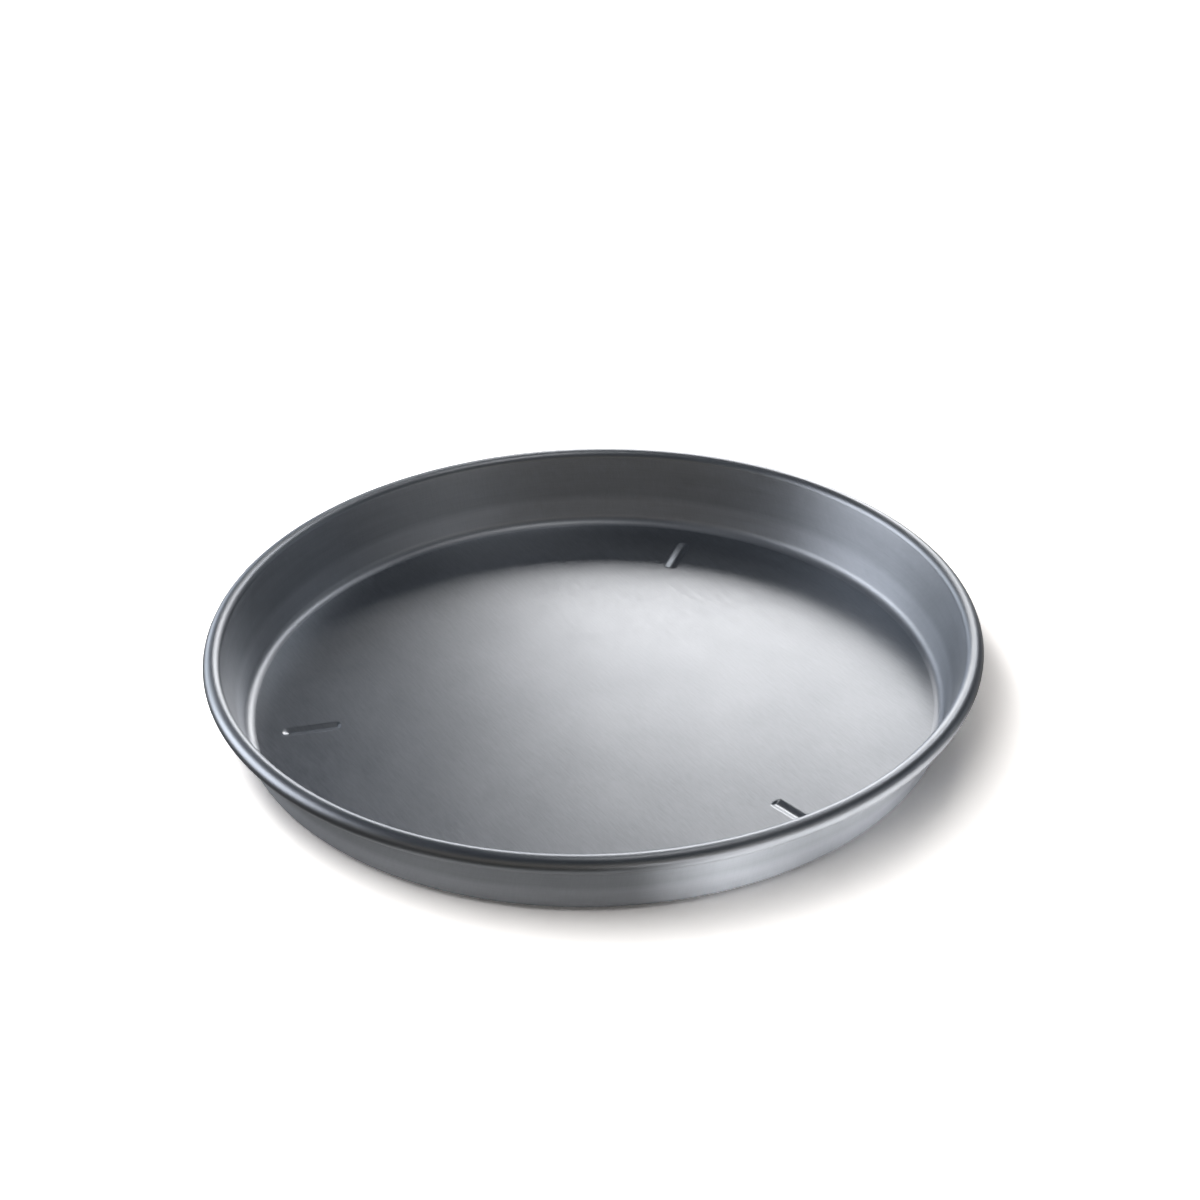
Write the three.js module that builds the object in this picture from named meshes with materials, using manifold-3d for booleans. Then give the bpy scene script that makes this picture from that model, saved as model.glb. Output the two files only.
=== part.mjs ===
// Deep-dish pizza pan. One sheet of aluminium is drawn into a tapered dish, three short ribs
// are pressed down into its floor as feet, and its edge is rolled outwards over a wire hoop.
// Millimetres, +Z up. The pan stands on its ribs at z = 0, centred on the Z axis.

import * as THREE from 'three';
import { mergeVertices } from 'three/addons/utils/BufferGeometryUtils.js';
import Module from 'manifold-3d';

// Dish, measured on the food side of the sheet
const sheetThickness = 1.6;
const insideTopDiameter = 355.6; // where the wall runs into the rolled rim
const insideDepth = 37.3; // floor to the top of the rim
const floorCornerRadius = 5.5;
const creaseHeight = 13.2; // draw line above the floor, where the wall turns steeper
const lowerWallTaper = 16; // degrees from upright, below the draw line
const upperWallTaper = 15; // degrees from upright, above the draw line

// Rolled rim and the wire inside it
const wireDiameter = 4.76;
const wireClearance = 0.3; // between the wire and the sheet rolled over it
const curlGap = 0.5; // between the sheet's edge and the outside of the wall
const wireEndGap = 1.2; // between the two cut ends of the hoop
const wireEndAngle = 150; // degrees from +X to the hoop's cut ends

// Pressed ribs in the floor
const ribCount = 3;
const firstRibAngle = 70.5; // degrees from +X
const ribInset = 13.1; // from the edge of the flat floor to the rib's outer end
const ribLength = 28; // over the groove's round ends, at the floor
const ribWidth = 5; // across the groove, at the floor
const ribDepth = 1.5;
const ribDraft = 1.6; // how far the groove's wall leans in from the floor to its bottom

// Facets
const turnSteps = 96;
const cornerSteps = 5;
const curlSteps = 15;
const wireSides = 12;
const ribEndSteps = 4;

const radians = THREE.MathUtils.degToRad;
const wasm = await Module();
wasm.setup();

function pointAt(angle, radius) {
  return new THREE.Vector2(Math.cos(angle), Math.sin(angle)).multiplyScalar(radius);
}

// Heights, from the ribs' undersides up
const floorUnderside = ribDepth;
const floorTop = floorUnderside + sheetThickness;
const rimTop = floorTop + insideDepth;

// Section of the bead: the wall runs straight on into a roll round the wire
const upperLean = radians(upperWallTaper);
const lowerLean = radians(lowerWallTaper);
const wireRadius = wireDiameter / 2;
const beadInnerRadius = wireRadius + wireClearance;
const beadOuterRadius = beadInnerRadius + sheetThickness;
const rollStart = pointAt(Math.PI - upperLean, beadOuterRadius);
const beadCentre = new THREE.Vector2(insideTopDiameter / 2, rimTop - beadOuterRadius);
beadCentre.x -= rollStart.x;

// Section of the dish below it: wall, draw line, wall, and the round corner to the floor
const wallTop = beadCentre.clone().add(rollStart);
const crease = new THREE.Vector2(wallTop.x, floorTop + creaseHeight);
crease.x -= (wallTop.y - crease.y) * Math.tan(upperLean);
const cornerEnd = pointAt(-lowerLean, floorCornerRadius);
const cornerCentre = new THREE.Vector2(crease.x - cornerEnd.x, floorTop + floorCornerRadius);
cornerCentre.x -= (crease.y - cornerCentre.y - cornerEnd.y) * Math.tan(lowerLean);

// Points along a round stretch of a section, ends included
function arcPoints(centre, radius, startAngle, endAngle, steps) {
  return Array.from({ length: steps + 1 }, (_, step) => {
    const angle = THREE.MathUtils.lerp(startAngle, endAngle, step / steps);
    return pointAt(angle, radius).add(centre);
  });
}

// One face of the sheet from the pan's axis to the rolled edge, set back from the food side
function sheetFace(setBack) {
  const creaseLean = (upperLean + lowerLean) / 2;
  const creaseSetBack = setBack / Math.cos((lowerLean - upperLean) / 2);
  const cornerRadius = floorCornerRadius + setBack;
  const rollRadius = beadOuterRadius - setBack;
  const rollEnd = Math.acos((beadInnerRadius - curlGap) / beadOuterRadius) - Math.PI - upperLean;
  return [
    new THREE.Vector2(0, floorTop - setBack),
    ...arcPoints(cornerCentre, cornerRadius, radians(-90), -lowerLean, cornerSteps),
    pointAt(-creaseLean, creaseSetBack).add(crease),
    ...arcPoints(beadCentre, rollRadius, Math.PI - upperLean, rollEnd, curlSteps),
  ];
}

// A closed section turned about the Z axis
function turned(section) {
  return new THREE.LatheGeometry(section, turnSteps).rotateX(Math.PI / 2);
}

// A closed solid of a geometry, for joining and cutting
function solidOf(geometry) {
  const bare = geometry.clone();
  bare.deleteAttribute('normal');
  bare.deleteAttribute('uv');
  const merged = mergeVertices(bare);
  const corners = merged.index.array;
  const triVerts = [];
  for (let first = 0; first < corners.length; first += 3) {
    const triangle = [corners[first], corners[first + 1], corners[first + 2]];
    if (new Set(triangle).size === triangle.length) {
      triVerts.push(...triangle);
    }
  }
  return new wasm.Manifold(new wasm.Mesh({
    numProp: 3,
    vertProperties: Float32Array.from(merged.attributes.position.array),
    triVerts: Uint32Array.from(triVerts),
  }));
}

function geometryOf(solid) {
  const mesh = solid.getMesh();
  const geometry = new THREE.BufferGeometry();
  geometry.setAttribute('position', new THREE.BufferAttribute(mesh.vertProperties, 3));
  geometry.setIndex(new THREE.BufferAttribute(mesh.triVerts, 1));
  geometry.computeVertexNormals();
  return geometry;
}

// A round-ended bar along X with sloping sides. It has the given length and width at a rib's depth
// above its flat bottom, and goes on widening above that.
function ribBar(length, width, bottom) {
  const endRadius = width / 2 - ribDraft;
  const endCentre = (length - width) / 2;
  const outline = new THREE.Shape();
  outline.absarc(endCentre, 0, endRadius, radians(-90), radians(90), false);
  outline.absarc(-endCentre, 0, endRadius, radians(90), radians(270), false);
  const bar = new THREE.ExtrudeGeometry(outline, {
    curveSegments: ribEndSteps,
    depth: ribDepth,
    bevelThickness: 2 * ribDepth,
    bevelSize: 2 * ribDraft,
    bevelSegments: 1,
  });
  return bar.translate(0, 0, bottom + 2 * ribDepth);
}

// The dish: the turned sheet, with each rib joined underneath and its groove cut from above
function panShell() {
  const section = [...sheetFace(sheetThickness), ...sheetFace(0).reverse()];
  let shell = solidOf(turned(section));
  const ribSlope = Math.atan2(ribDepth, ribDraft);
  const ribSpread = sheetThickness * Math.tan(ribSlope / 2); // the sheet keeps its thickness
  const ribCentreRadius = cornerCentre.x - ribInset - ribLength / 2;
  const foot = ribBar(ribLength + 2 * ribSpread, ribWidth + 2 * ribSpread, 0);
  const groove = ribBar(ribLength, ribWidth, sheetThickness);
  const midSheet = floorUnderside + sheetThickness / 2;
  for (let rib = 0; rib < ribCount; rib += 1) {
    const angle = radians(firstRibAngle + (360 / ribCount) * rib);
    const place = (bar) => solidOf(bar.clone().translate(ribCentreRadius, 0, 0).rotateZ(angle));
    shell = shell.add(place(foot).trimByPlane([0, 0, -1], -midSheet));
    shell = shell.subtract(place(groove));
  }
  return geometryOf(shell);
}

// The hoop: a round wire bent into a ring, its two cut ends nearly meeting
function rimWire() {
  const section = arcPoints(beadCentre, wireRadius, 0, radians(360), wireSides);
  const hoop = solidOf(turned(section));
  const cut = new THREE.BoxGeometry(2 * wireDiameter, wireEndGap, 2 * wireDiameter);
  cut.translate(beadCentre.x, 0, beadCentre.y).rotateZ(radians(wireEndAngle));
  return geometryOf(hoop.subtract(solidOf(cut)));
}

const anodisedSheet = { color: 0x6f747b, roughness: 0.38, metalness: 1 };
const drawnWire = { color: 0xa3a5a8, roughness: 0.45, metalness: 1 };

function piece(name, geometry, finish) {
  const mesh = new THREE.Mesh(geometry, new THREE.MeshStandardMaterial(finish));
  mesh.name = name;
  return mesh;
}

const pan = new THREE.Group();
pan.add(piece('pan_shell', panShell(), anodisedSheet));
pan.add(piece('rim_wire', rimWire(), drawnWire));

export default pan;
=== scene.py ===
from math import acos, cos, pi, radians, sin, tan

import bmesh
import bpy
from mathutils import Matrix, Vector


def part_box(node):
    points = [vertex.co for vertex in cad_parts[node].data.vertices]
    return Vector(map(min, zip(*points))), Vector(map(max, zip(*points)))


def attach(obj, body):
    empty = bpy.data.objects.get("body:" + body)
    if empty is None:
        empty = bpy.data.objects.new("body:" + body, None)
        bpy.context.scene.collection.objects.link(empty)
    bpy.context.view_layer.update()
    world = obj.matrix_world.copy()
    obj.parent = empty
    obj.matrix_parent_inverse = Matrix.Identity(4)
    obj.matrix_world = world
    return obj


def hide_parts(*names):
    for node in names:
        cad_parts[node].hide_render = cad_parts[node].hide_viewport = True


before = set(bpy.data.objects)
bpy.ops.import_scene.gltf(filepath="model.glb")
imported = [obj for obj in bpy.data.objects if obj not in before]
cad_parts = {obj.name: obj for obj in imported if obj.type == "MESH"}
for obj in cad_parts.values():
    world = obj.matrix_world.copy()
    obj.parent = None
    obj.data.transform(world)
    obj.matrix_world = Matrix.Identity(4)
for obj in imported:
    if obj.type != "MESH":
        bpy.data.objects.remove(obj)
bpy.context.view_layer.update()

_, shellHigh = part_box("pan_shell")
mm = 0.001
print("frame loaded:", sorted(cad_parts))

# The camera stands in front of the pan and looks down into it
viewpoint = {
    "target": Vector((0, 0, 40.2 * mm)),
    "elevation": radians(31.862),
    "distance": 1244 * mm,
    "pan": radians(-0.18),
    "tilt": radians(0.607),
    "roll": radians(1.531),
    "lens": 77.82,  # on a 36 mm sensor
    "sensor": 36,
}


def placeCamera():
    back = Vector((0, -cos(viewpoint["elevation"]), sin(viewpoint["elevation"])))
    level = Matrix.Rotation(pi / 2 - viewpoint["elevation"], 4, "X")
    aim = Matrix.Rotation(viewpoint["pan"], 4, "Y") @ Matrix.Rotation(viewpoint["tilt"], 4, "X")
    lean = Matrix.Rotation(-viewpoint["roll"], 4, "Z")
    data = bpy.data.cameras.new("panCamera")
    data.lens = viewpoint["lens"]
    data.sensor_width = viewpoint["sensor"]
    camera = bpy.data.objects.new("panCamera", data)
    place = Matrix.Translation(viewpoint["target"] + back * viewpoint["distance"])
    camera.matrix_world = place @ level @ aim @ lean
    bpy.context.scene.collection.objects.link(camera)
    bpy.context.scene.camera = camera


placeCamera()
print("camera placed")

# The pan's sheet, measured on its food side
panSheet = {
    "thickness": 1.6 * mm,
    "floorTop": 3.1 * mm,
    "cornerRadius": 5.5 * mm,
    "creaseHeight": 13.2 * mm,  # draw line above the floor
    "creaseRadius": 12 * mm,
    "lowerTaper": radians(16),
    "upperTaper": radians(15),
    "beadRadius": 4.28 * mm,  # outside of the rolled edge
    "curlGap": 0.5 * mm,  # from the cut edge to the wall
    "edgeRound": 0.25 * mm,  # on the cut edge
    "edgeSegments": 2,
    "floorRings": 4,  # on each plain stretch beside the ribs' ends
    "outerRings": 3,  # from the ribs to the corner
    "cornerSteps": 10,
    "creaseSteps": 2,
    "curlSteps": 34,
    "wallRings": 3,
    "weld": 0.002 * mm,  # joins the turn's two ends
    "sharpAngle": radians(50),
}

# Grooves pressed down into the floor, which stand proud underneath as feet
pressedRibs = {
    "count": 3,
    "firstAngle": radians(70.5),
    "centreRadius": 137.16 * mm,
    "spine": 23 * mm,  # straight length of the groove's bottom line
    "groove": (0.88 * mm, 3.8 * mm),  # depth, and reach from its line to where it runs out
    "foot": (1.5 * mm, 4 * mm),
    "innerEnd": 2,  # how much steeper than the flanks the inner end is
    "roundShare": 0.3,  # of the flank, at its top and bottom
    "ringStep": 0.28 * mm,
    "sector": radians(4.1),
    "sectorSteps": 42,
    "plainSteps": 78,
}


def profileAt(radius, height):
    return Vector((radius, 0, height))


def inDirection(angle, length):
    return profileAt(cos(angle) * length, sin(angle) * length)


# Draws the section straight on to a place
def runTo(bm, vert, place, steps):
    start = vert.co.copy()
    for step in range(1, steps + 1):
        vert = bmesh.ops.extrude_vert_indiv(bm, verts=[vert])["verts"][0]
        vert.co = start.lerp(place, step / steps)
    return vert


# Draws it on round a centre
def rollRound(bm, vert, centre, turn, steps):
    swept = bmesh.ops.spin(bm, geom=[vert], cent=centre, axis=(0, 1, 0), angle=turn, steps=steps)
    return next(item for item in swept["geom_last"] if isinstance(item, bmesh.types.BMVert))


beadCorner = profileAt(shellHigh.x, shellHigh.z)  # of the box round the bead's section
beadCentre = beadCorner - profileAt(panSheet["beadRadius"], panSheet["beadRadius"])


def drawSheetProfile(bm):
    sheet = panSheet
    wallTop = beadCentre + inDirection(pi - sheet["upperTaper"], sheet["beadRadius"])
    creaseZ = sheet["floorTop"] + sheet["creaseHeight"]
    crease = profileAt(wallTop.x - (wallTop.z - creaseZ) * tan(sheet["upperTaper"]), creaseZ)
    cornerEnd = inDirection(-sheet["lowerTaper"], sheet["cornerRadius"])
    cornerZ = sheet["floorTop"] + sheet["cornerRadius"]
    cornerX = crease.x - cornerEnd.x - (creaseZ - cornerZ - cornerEnd.z) * tan(sheet["lowerTaper"])
    cornerCentre = profileAt(cornerX, cornerZ)

    # floor, with close rings where the ribs end
    ribs = pressedRibs
    vert = bm.verts.new(profileAt(0, sheet["floorTop"]))
    halfSpine = ribs["spine"] / 2
    margin = ribs["foot"][1] + ribs["ringStep"]
    fineRings = round(2 * margin / ribs["ringStep"])
    plainRings = sheet["floorRings"]
    for end, rings in ((-halfSpine - margin, plainRings), (-halfSpine + margin, fineRings),
                       (halfSpine - margin, plainRings), (halfSpine + margin, fineRings)):
        vert = runTo(bm, vert, profileAt(ribs["centreRadius"] + end, sheet["floorTop"]), rings)
    vert = runTo(bm, vert, profileAt(cornerX, sheet["floorTop"]), sheet["outerRings"])

    # corner, wall with its draw line, and the edge rolled outwards
    vert = rollRound(bm, vert, cornerCentre, sheet["lowerTaper"] - pi / 2, sheet["cornerSteps"])
    bend = sheet["lowerTaper"] - sheet["upperTaper"]
    upWall = inDirection(pi / 2 - sheet["lowerTaper"], 1)
    creaseStart = crease - upWall * sheet["creaseRadius"] * tan(bend / 2)
    vert = runTo(bm, vert, creaseStart, sheet["wallRings"])
    creaseCentre = creaseStart + inDirection(pi - sheet["lowerTaper"], sheet["creaseRadius"])
    vert = rollRound(bm, vert, creaseCentre, -bend, sheet["creaseSteps"])
    vert = runTo(bm, vert, wallTop, sheet["wallRings"])
    reach = sheet["beadRadius"] - sheet["thickness"] - sheet["curlGap"]
    rollRound(bm, vert, beadCentre, 2 * pi - acos(reach / sheet["beadRadius"]), sheet["curlSteps"])
    return cornerX


# Height of a flank, from 0 at its foot to 1 at its lip, straight between two rounded ends
def flankHeight(share, roundShare):
    if share > 0.5:
        return 1 - flankHeight(1 - share, roundShare)
    bend = min(share, roundShare)
    return (bend * bend / (2 * roundShare) + share - bend) / (1 - roundShare)


def pressRibs(bm):
    ribs = pressedRibs
    halfSpine = ribs["spine"] / 2
    midSheet = panSheet["floorTop"] - panSheet["thickness"] / 2
    for rib in range(ribs["count"]):
        angle = ribs["firstAngle"] + 2 * pi * rib / ribs["count"]
        turnBack = Matrix.Rotation(-angle, 3, "Z")
        for vert in bm.verts:
            place = turnBack @ vert.co
            depth, reach = ribs["groove" if vert.co.z > midSheet else "foot"]
            along = place.x - ribs["centreRadius"]
            past = max(-along - halfSpine, 0) * ribs["innerEnd"] + max(along - halfSpine, 0)
            away = Vector((past, place.y)).length
            if away < reach:
                vert.co.z -= depth * (1 - flankHeight(away / reach, ribs["roundShare"]))


def spinSheet(bm):
    ribs = pressedRibs
    start = Matrix.Rotation(ribs["firstAngle"] - ribs["sector"] / 2, 3, "Z")
    bmesh.ops.rotate(bm, verts=bm.verts[:], cent=(0, 0, 0), matrix=start)
    edge = bm.verts[:] + bm.edges[:]
    plain = 2 * pi / ribs["count"] - ribs["sector"]
    for _ in range(ribs["count"]):
        for turn, steps in ((ribs["sector"], ribs["sectorSteps"]), (plain, ribs["plainSteps"])):
            swept = bmesh.ops.spin(bm, geom=edge, cent=(0, 0, 0), axis=(0, 0, 1),
                                   angle=turn, steps=steps)
            edge = swept["geom_last"]
    bmesh.ops.remove_doubles(bm, verts=bm.verts[:], dist=panSheet["weld"])
    bmesh.ops.recalc_face_normals(bm, faces=bm.faces[:])
    middle = min(bm.faces, key=lambda face: face.calc_center_median().length)
    if middle.normal.z < 0:
        bmesh.ops.reverse_faces(bm, faces=bm.faces[:])


def addPiece(name, bm, materials, node):
    mesh = bpy.data.meshes.new(name)
    bm.to_mesh(mesh)
    bm.free()
    mesh.polygons.foreach_set("use_smooth", [True] * len(mesh.polygons))
    mesh.set_sharp_from_angle(angle=panSheet["sharpAngle"])
    for material in materials:
        mesh.materials.append(material)
    piece = bpy.data.objects.new(name, mesh)
    bpy.context.scene.collection.objects.link(piece)
    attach(piece, "root")
    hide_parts(node)
    print(name, "has", sum(len(face.vertices) - 2 for face in mesh.polygons), "triangles")


def makeSheet(finishes):
    bm = bmesh.new()
    cornerX = drawSheetProfile(bm)
    spinSheet(bm)
    bm.normal_update()
    bmesh.ops.solidify(bm, geom=bm.faces[:], thickness=panSheet["thickness"])
    bm.normal_update()
    cutEdges = [edge for edge in bm.edges if edge.calc_face_angle(0) > panSheet["sharpAngle"]]
    bmesh.ops.bevel(bm, geom=cutEdges, offset=panSheet["edgeRound"],
                    segments=panSheet["edgeSegments"], profile=0.5, affect="EDGES", material=-1)
    pressRibs(bm)
    beadFoot = beadCentre.x - panSheet["beadRadius"]
    cornerTop = panSheet["floorTop"] + panSheet["cornerRadius"] * (1 - sin(panSheet["lowerTaper"]))
    order = list(finishes)
    for face in bm.faces:
        middle = face.calc_center_median()
        radius = middle.xy.length
        if radius < cornerX:
            part = "floor"
        elif middle.z < cornerTop:
            part = "corner"
        else:
            part = "wall" if radius < beadFoot else "bead"
        face.material_index = order.index(part)
    addPiece("drawnSheet", bm, finishes.values(), "pan_shell")


# The hoop of wire that the edge is rolled over
rimHoop = {
    "wireRadius": 2.38 * mm,
    "endGap": 1.2 * mm,
    "endAngle": radians(150),
    "sides": 20,
    "steps": 180,
}


def makeHoop(material):
    hoop = rimHoop
    bm = bmesh.new()
    bmesh.ops.create_circle(bm, segments=hoop["sides"], radius=hoop["wireRadius"])
    bmesh.ops.rotate(bm, verts=bm.verts[:], cent=(0, 0, 0), matrix=Matrix.Rotation(pi / 2, 3, "X"))
    bmesh.ops.translate(bm, verts=bm.verts[:], vec=beadCentre)
    gapTurn = hoop["endGap"] / beadCentre.x
    start = Matrix.Rotation(hoop["endAngle"] + gapTurn / 2, 3, "Z")
    bmesh.ops.rotate(bm, verts=bm.verts[:], cent=(0, 0, 0), matrix=start)
    bmesh.ops.spin(bm, geom=bm.verts[:] + bm.edges[:], cent=(0, 0, 0), axis=(0, 0, 1),
                   angle=2 * pi - gapTurn, steps=hoop["steps"])
    bmesh.ops.holes_fill(bm, edges=[edge for edge in bm.edges if edge.is_boundary])
    bmesh.ops.recalc_face_normals(bm, faces=bm.faces[:])
    addPiece("wireHoop", bm, [material], "rim_wire")


# Finishes. Sizes of the patterns are in metres, each with the detail and roughness of its noise.
anodised = {
    "dark": (0.330, 0.352, 0.383, 1),
    "light": (0.500, 0.528, 0.569, 1),
    "cloud": (0.045, 4, 0.55),
    "speck": (0.0025, 2, 0.55),
    "scuff": (0.006, 5, 0.65),
    "scuffed": (0.6, 0.75),  # of the scuffs' noise, from clean to scuffed
    "bumpHeight": 0.0001,
}
rolled = {
    "heading": radians(-60),
    "length": 0.006,
    "width": 0.0007,
    "noise": (1, 4, 0.6),
    "cloudTone": 0.25,
    "streakTone": 0.36,
    "roughness": (0.29, 0.375),
    "relief": 0.06,
    "speckRelief": 0.8,
}
turned = {
    "sizes": {"Line": 0.0006, "Band": 0.0045},
    "noise": (1, 2, 0.5),
    "wander": 5,
    "drawLine": (0.0185, 0.0145),  # heights between which the wall is painted lighter, a painted sheen
    "cloudTone": 0.2,
    "bandTone": 0.2,
    "lineTone": 0.14,
    "streakTone": 0.16,
    "footSheenTone": 0.55,
    "scuffTone": 0.2,
    "bandRoughness": 0.03,
    "scuffRoughness": 0.08,
    "relief": 0.08,
    "glossTurn": 0.25,  # of a turn, so that the gloss stretches across the lines
}
bareWire = {
    "dark": (0.56, 0.56, 0.58, 1),
    "light": (0.66, 0.66, 0.68, 1),
    "roughness": (0.34, 0.46),
}


# Puts a fixed value, or what another node gives, into a socket
def feed(tree, value, socket):
    if isinstance(value, bpy.types.NodeSocket):
        tree.links.new(value, socket)
    else:
        socket.default_value = value


def addNode(tree, kind, settings=None, inputs=None):
    node = tree.nodes.new(kind)
    for name, value in (settings or {}).items():
        setattr(node, name, value)
    for name, value in (inputs or {}).items():
        feed(tree, value, node.inputs[name])
    return node


def newGroup(name, outputs):
    group = bpy.data.node_groups.new(name, "ShaderNodeTree")
    for socket in outputs:
        group.interface.new_socket(socket, in_out="OUTPUT", socket_type="NodeSocketFloat")
    place = addNode(group, "ShaderNodeTexCoord").outputs["Object"]
    return group, group.nodes.new("NodeGroupOutput").inputs, place


def useGroup(tree, group):
    return addNode(tree, "ShaderNodeGroup", {"node_tree": group}).outputs


def noiseOf(tree, vector, pattern, fourth=None):
    size, detail, roughness = pattern
    inputs = {"Vector": vector, "Scale": 1 / size, "Detail": detail, "Roughness": roughness}
    settings = {}
    if fourth is not None:
        settings["noise_dimensions"] = "4D"
        inputs["W"] = fourth
    return addNode(tree, "ShaderNodeTexNoise", settings, inputs).outputs["Fac"]


# Runs from low to high while the value runs from start to stop, between which most noise lies
def spread(tree, value, low, high, start=0.3, stop=0.7):
    inputs = {"Value": value, "From Min": start, "From Max": stop, "To Min": low, "To Max": high}
    return addNode(tree, "ShaderNodeMapRange", inputs=inputs).outputs["Result"]


def combine(tree, operation, total, *values):
    for value in values:
        node = addNode(tree, "ShaderNodeMath", {"operation": operation}, {0: total, 1: value})
        total = node.outputs[0]
    return total


def vectorMath(tree, operation, inputs):
    return addNode(tree, "ShaderNodeVectorMath", {"operation": operation}, inputs).outputs


def mixOf(tree, factor, first, second):
    inputs = {"Factor": factor, 6: first, 7: second}  # the two colour sockets
    return addNode(tree, "ShaderNodeMix", {"data_type": "RGBA"}, inputs).outputs[2]


def partsOf(tree, vector):
    return addNode(tree, "ShaderNodeSeparateXYZ", inputs={0: vector}).outputs


def makeCloudGroup():
    group, out, place = newGroup("anodiseClouds", ["Cloud", "Speck", "Scuff"])
    feed(group, noiseOf(group, place, anodised["cloud"]), out["Cloud"])
    feed(group, noiseOf(group, place, anodised["speck"]), out["Speck"])
    scuff = noiseOf(group, place, anodised["scuff"])
    feed(group, spread(group, scuff, 0, 1, *anodised["scuffed"]), out["Scuff"])
    return group


# Short straight streaks, left by rolling the sheet flat
def makeGrainGroup():
    group, out, place = newGroup("rollingGrain", ["Streak"])
    size = (rolled["length"], rolled["width"], rolled["length"])
    lay = addNode(group, "ShaderNodeMapping", {"vector_type": "TEXTURE"},
                  {"Vector": place, "Rotation": (0, 0, rolled["heading"]), "Scale": size})
    feed(group, noiseOf(group, lay.outputs["Vector"], rolled["noise"]), out["Streak"])
    return group


# Lines round the axis, left by drawing and rolling the edge. The noise is read on the unit circle,
# so that a line closes on itself.
def makeMarksGroup():
    group, out, place = newGroup("turnedMarks", ["Line", "Band", "Foot"])
    parts = partsOf(group, place)
    # Foot is a painted sheen: 1 below the draw line, where the wall is painted lighter
    feed(group, spread(group, parts["Z"], 0, 1, *turned["drawLine"]), out["Foot"])
    level = {"X": parts["X"], "Y": parts["Y"]}
    flat = addNode(group, "ShaderNodeCombineXYZ", inputs=level).outputs[0]
    reach = vectorMath(group, "LENGTH", {0: flat})["Value"]
    unit = vectorMath(group, "NORMALIZE", {0: flat})[0]
    around = vectorMath(group, "SCALE", {0: unit, "Scale": turned["wander"]})[0]
    for name, size in turned["sizes"].items():
        height = combine(group, "DIVIDE", parts["Z"], size)
        lift = addNode(group, "ShaderNodeCombineXYZ", inputs={"Z": height}).outputs[0]
        vector = vectorMath(group, "ADD", {0: around, 1: lift})[0]
        outwards = combine(group, "DIVIDE", reach, size)
        feed(group, noiseOf(group, vector, turned["noise"], outwards), out[name])
    return group


cloudGroup = makeCloudGroup()
grainGroup = makeGrainGroup()
marksGroup = makeMarksGroup()


def newMaterial(name):
    material = bpy.data.materials.new(name)
    material.use_nodes = True
    shader = material.node_tree.nodes["Principled BSDF"].inputs
    shader["Metallic"].default_value = 1
    return material, material.node_tree, shader


# The tone runs from dark to light with a mask, which clouds and marks make together
def paintTone(tree, shader, mask):
    feed(tree, mixOf(tree, mask, anodised["dark"], anodised["light"]), shader["Base Color"])


def raiseBump(tree, shader, height, strength):
    inputs = {"Height": height, "Strength": strength, "Distance": anodised["bumpHeight"]}
    feed(tree, addNode(tree, "ShaderNodeBump", inputs=inputs).outputs["Normal"], shader["Normal"])


def satinFloor():
    material, tree, shader = newMaterial("satinFloor")
    clouds = useGroup(tree, cloudGroup)
    streak = useGroup(tree, grainGroup)["Streak"]
    paintTone(tree, shader, combine(tree, "ADD",
                                    spread(tree, clouds["Cloud"], 0, rolled["cloudTone"]),
                                    spread(tree, streak, 0, rolled["streakTone"])))
    feed(tree, spread(tree, streak, *rolled["roughness"]), shader["Roughness"])
    specks = combine(tree, "MULTIPLY", clouds["Speck"], rolled["speckRelief"])
    raiseBump(tree, shader, combine(tree, "ADD", streak, specks), rolled["relief"])
    return material


# Stretch draws the gloss out, and tone is how much of the lighter marks shows
def turnedFinish(name, roughness, stretch, tone):
    material, tree, shader = newMaterial(name)
    clouds = useGroup(tree, cloudGroup)
    marks = useGroup(tree, marksGroup)
    streak = useGroup(tree, grainGroup)["Streak"]
    mask = combine(tree, "ADD",
                   spread(tree, clouds["Cloud"], 0, turned["cloudTone"]),
                   spread(tree, marks["Band"], 0, turned["bandTone"]),
                   spread(tree, marks["Line"], 0, turned["lineTone"]),
                   spread(tree, streak, 0, turned["streakTone"]),
                   # painted sheen: the wall is painted lighter below the draw line
                   combine(tree, "MULTIPLY", marks["Foot"], turned["footSheenTone"]),
                   combine(tree, "MULTIPLY", clouds["Scuff"], turned["scuffTone"]))
    paintTone(tree, shader, combine(tree, "MULTIPLY", mask, tone))
    sway = turned["bandRoughness"]
    bands = spread(tree, marks["Band"], roughness - sway, roughness + sway)
    scuffs = combine(tree, "MULTIPLY", clouds["Scuff"], turned["scuffRoughness"])
    feed(tree, combine(tree, "ADD", bands, scuffs), shader["Roughness"])
    raiseBump(tree, shader, combine(tree, "ADD", marks["Line"], streak), turned["relief"])
    shader["Anisotropic"].default_value = stretch
    shader["Anisotropic Rotation"].default_value = turned["glossTurn"]
    tangent = addNode(tree, "ShaderNodeTangent", {"direction_type": "RADIAL", "axis": "Z"})
    feed(tree, tangent.outputs["Tangent"], shader["Tangent"])
    return material


def drawnWire():
    material, tree, shader = newMaterial("drawnWire")
    line = useGroup(tree, marksGroup)["Line"]
    feed(tree, mixOf(tree, line, bareWire["dark"], bareWire["light"]), shader["Base Color"])
    feed(tree, spread(tree, line, *bareWire["roughness"]), shader["Roughness"])
    return material


makeSheet({
    "floor": satinFloor(),
    "corner": turnedFinish("pressedCorner", roughness=0.44, stretch=0.3, tone=1),
    "wall": turnedFinish("drawnWall", roughness=0.46, stretch=0.5, tone=1),
    "bead": turnedFinish("rolledBead", roughness=0.39, stretch=0.2, tone=0.35),
})
makeHoop(drawnWire())
print("pieces made and finished")

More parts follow.
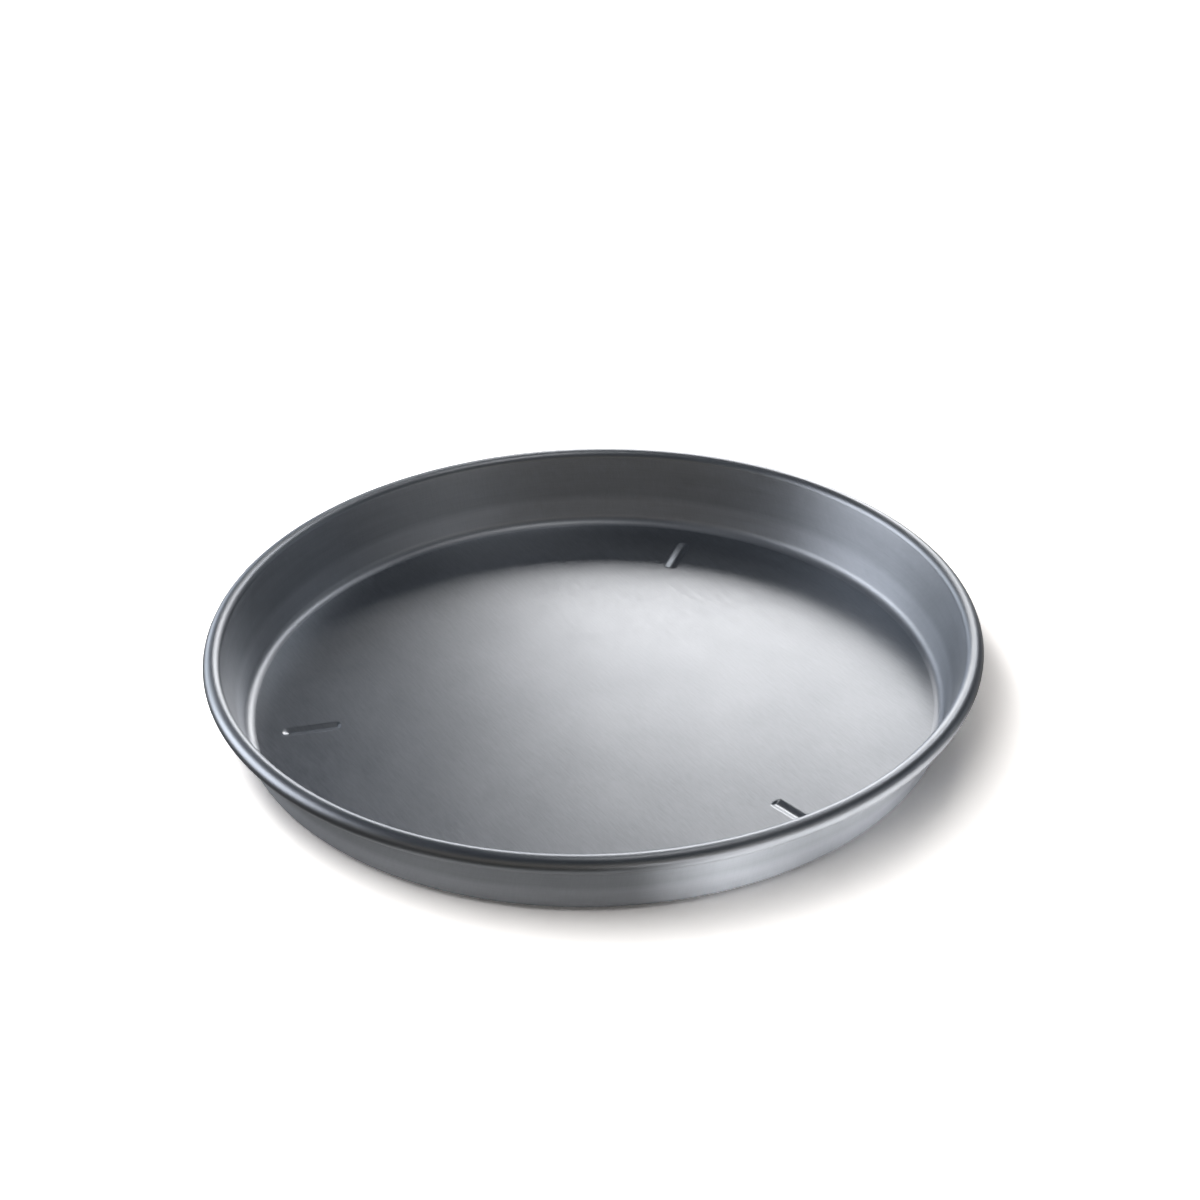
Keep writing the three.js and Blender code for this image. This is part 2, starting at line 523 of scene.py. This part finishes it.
# White table, seen by the camera brighter than it is lit and plain white far away
tableTop = {
    "half": 2.5,
    "white": (0.885, 0.86, 0.835),
    "glow": 0.02,
    "seen": 1.6,
    "farWhite": (0.35, 0.9),  # distance over which it turns plain white
}

# Painted reflections: the metal mirrors the table at a brightness shaped by place, not by how it is
# lit:
# some at the pan's foot, less at its left, little far off in front and more behind, with a painted
# bright side at the right and a painted bright patch in front of the pan. Pairs are in metres, and
# give where a share begins and where it is full or ends.
paintedTableReflection = {
    "foot": 0.64,
    "footEnds": (0.182, 0.23),
    "leftFoot": -0.3,
    "leftEnds": (-0.15, -0.09),
    "farFront": 0.05,
    "farBack": 0.6,
    "frontToBack": (-0.1, 0.4),
    "paintedRightSheen": 2.2,
    "rightBegins": (0.03, 0.14),
    "rightEnds": (-0.12, -0.02),  # from the front backwards
    "paintedPatch": 2.1,
    "patchPlace": (0.066, -0.178, 0),
    "patchReach": 0.048,
}


def paintedMirrorShare(tree, place):
    table = paintedTableReflection
    parts = partsOf(tree, place)
    far = spread(tree, parts["Y"], table["farFront"], table["farBack"], *table["frontToBack"])
    away = spread(tree, vectorMath(tree, "LENGTH", {0: place})["Value"], 0, 1, *table["footEnds"])
    change = combine(tree, "MULTIPLY", combine(tree, "SUBTRACT", far, table["foot"]), away)
    left = spread(tree, parts["X"], table["leftFoot"], 0, *table["leftEnds"])
    share = combine(tree, "ADD", change, table["foot"], left)
    # painted bright side at the right, seen only in the metal's mirror
    right = combine(tree, "MULTIPLY",
                    spread(tree, parts["X"], 0, table["paintedRightSheen"], *table["rightBegins"]),
                    spread(tree, parts["Y"], 1, 0, *table["rightEnds"]))
    # painted bright patch, seen only in the metal's mirror, which gives the outer wall its
    # highlight
    gap = vectorMath(tree, "DISTANCE", {0: place, 1: table["patchPlace"]})["Value"]
    paintedPatch = spread(tree, gap, table["paintedPatch"], 0, 0, table["patchReach"])
    return combine(tree, "ADD", combine(tree, "MAXIMUM", share, table["farFront"]), right, paintedPatch)


# What is seen by the camera, also through glass, and what is seen in a mirror
def lightPath(tree):
    path = addNode(tree, "ShaderNodeLightPath").outputs
    seen = combine(tree, "MAXIMUM", path["Is Camera Ray"], path["Is Transmission Ray"])
    return seen, path["Is Glossy Ray"]


def makeTable():
    material = bpy.data.materials.new("whiteTable")
    material.use_nodes = True
    tree = material.node_tree
    tree.nodes.clear()
    seen, glossy = lightPath(tree)
    place = addNode(tree, "ShaderNodeTexCoord").outputs["Object"]
    # painted reflection: mirror rays see the table at the painted share, not as it is lit
    mirrored = combine(tree, "MULTIPLY", glossy, paintedMirrorShare(tree, place))
    direct = combine(tree, "MULTIPLY", seen, tableTop["seen"])
    share = combine(tree, "MAXIMUM", direct, mirrored)
    tone = vectorMath(tree, "SCALE", {0: tableTop["white"], "Scale": share})[0]
    paint = addNode(tree, "ShaderNodeBsdfDiffuse", inputs={"Color": tone}).outputs[0]
    away = vectorMath(tree, "LENGTH", {0: place})["Value"]
    far = combine(tree, "MULTIPLY", seen, spread(tree, away, 0, 1, *tableTop["farWhite"]))
    strength = combine(tree, "ADD", combine(tree, "MULTIPLY", share, tableTop["glow"]), far)
    glow = addNode(tree, "ShaderNodeEmission", inputs={"Strength": strength}).outputs[0]
    both = addNode(tree, "ShaderNodeAddShader", inputs={0: paint, 1: glow}).outputs[0]
    addNode(tree, "ShaderNodeOutputMaterial", inputs={"Surface": both})

    bm = bmesh.new()
    bmesh.ops.create_grid(bm, x_segments=1, y_segments=1, size=tableTop["half"])
    mesh = bpy.data.meshes.new("table")
    bm.to_mesh(mesh)
    bm.free()
    mesh.materials.append(material)
    table = bpy.data.objects.new("table", mesh)
    bpy.context.scene.collection.objects.link(table)


# The boxes aim at the pan unless they say otherwise. The strip box lights the table and isn't
# mirrored in the metal; the line box beside it gives the corner and the rim a pale line.
softBoxes = {
    "stripBox": {"place": (-0.44, -0.16, 1.20), "size": (2.0, 0.5), "watts": 21, "mirrored": False},
    "lineBox": {"place": (0.18, 0.10, 1.20), "size": (0.4, 0.3), "watts": 0.8,
                "tint": (1, 0.96, 0.92)},
    "keyBox": {"place": (-1.35, 0.25, 0.45), "size": (1.0, 0.9), "watts": 8.2,
               "tint": (0.95, 0.96, 1)},
    "fillBox": {"place": (-1.0, 0.9, 0.40), "size": (0.9, 0.7), "watts": 2.7,
                "tint": (0.92, 0.96, 1)},
    "backPanel": {"place": (0.24, 1.30, 0.64), "size": (0.64, 0.40), "watts": 3.7,
                  "tint": (1, 0.955, 0.91), "aim": (0.24, 0, 0.64)},
    "lowPanel": {"place": (0.24, 1.30, 0.22), "size": (0.64, 0.44), "watts": 2,
                 "tint": (1, 0.965, 0.93), "aim": (0.24, 0, 0.22)},
    "besidePanel": {"place": (0.74, 1.30, 0.42), "size": (0.36, 0.84), "watts": 0.42,
                    "aim": (0.74, 0, 0.42)},
    "highBox": {"place": (0.62, 1.04, 1.08), "size": (0.3, 0.38), "watts": 1.8},
    "sideCard": {"place": (1.04, -0.78, 0.35), "size": (1.1, 0.6), "watts": 0.55},
}


def hangSoftBoxes():
    for name, box in softBoxes.items():
        data = bpy.data.lights.new(name, "AREA")
        data.shape = "RECTANGLE"
        data.size, data.size_y = box["size"]
        data.energy = box["watts"]
        data.color = box.get("tint", (1, 1, 1))
        lamp = bpy.data.objects.new(name, data)
        lamp.location = box["place"]
        lamp.rotation_mode = "QUATERNION"
        aim = Vector(box.get("aim", (0, 0, 0)))
        lamp.rotation_quaternion = (aim - lamp.location).to_track_quat("-Z", "Y")
        lamp.visible_camera = False
        lamp.visible_glossy = box.get("mirrored", True)
        bpy.context.scene.collection.objects.link(lamp)


# The studio is dim and cool overhead, warmer low down in front, paler at the right, and bright low
# down behind the pan at the left. Each glow gives, for the parts of the direction, where it begins
# and where it is full. The camera itself sees the backdrop.
studio = {
    "overhead": (0.050, 0.057, 0.069, 1),
    "glows": [
        {"tone": (0.25, 0.222, 0.19, 1), "Y": (-0.05, -0.8), "Z": (0.7, 0.2)},
        {"tone": (0.29, 0.305, 0.33, 1), "X": (0.8, 0.93), "Y": (-0.25, 0.05)},
        {"tone": (1.02, 1.10, 1.24, 1), "X": (0.3, 0), "Y": (0.6, 0.95), "Z": (0.5, 0.12)},
    ],
    "backdrop": (1, 1, 1, 1),
}


def setWorld():
    world = bpy.data.worlds.new("studio")
    world.use_nodes = True
    tree = world.node_tree
    toward = partsOf(tree, addNode(tree, "ShaderNodeTexCoord").outputs["Generated"])
    tone = studio["overhead"]
    for glow in studio["glows"]:
        fades = [spread(tree, toward[axis], 0, 1, *glow[axis]) for axis in "XYZ" if axis in glow]
        tone = mixOf(tree, combine(tree, "MULTIPLY", *fades), tone, glow["tone"])
    seen, _ = lightPath(tree)
    sky = mixOf(tree, seen, tone, studio["backdrop"])
    feed(tree, sky, tree.nodes["Background"].inputs["Color"])
    bpy.context.scene.world = world


makeTable()
hangSoftBoxes()
setWorld()
bpy.context.scene.view_settings.view_transform = "Standard"
print("stage and light set")
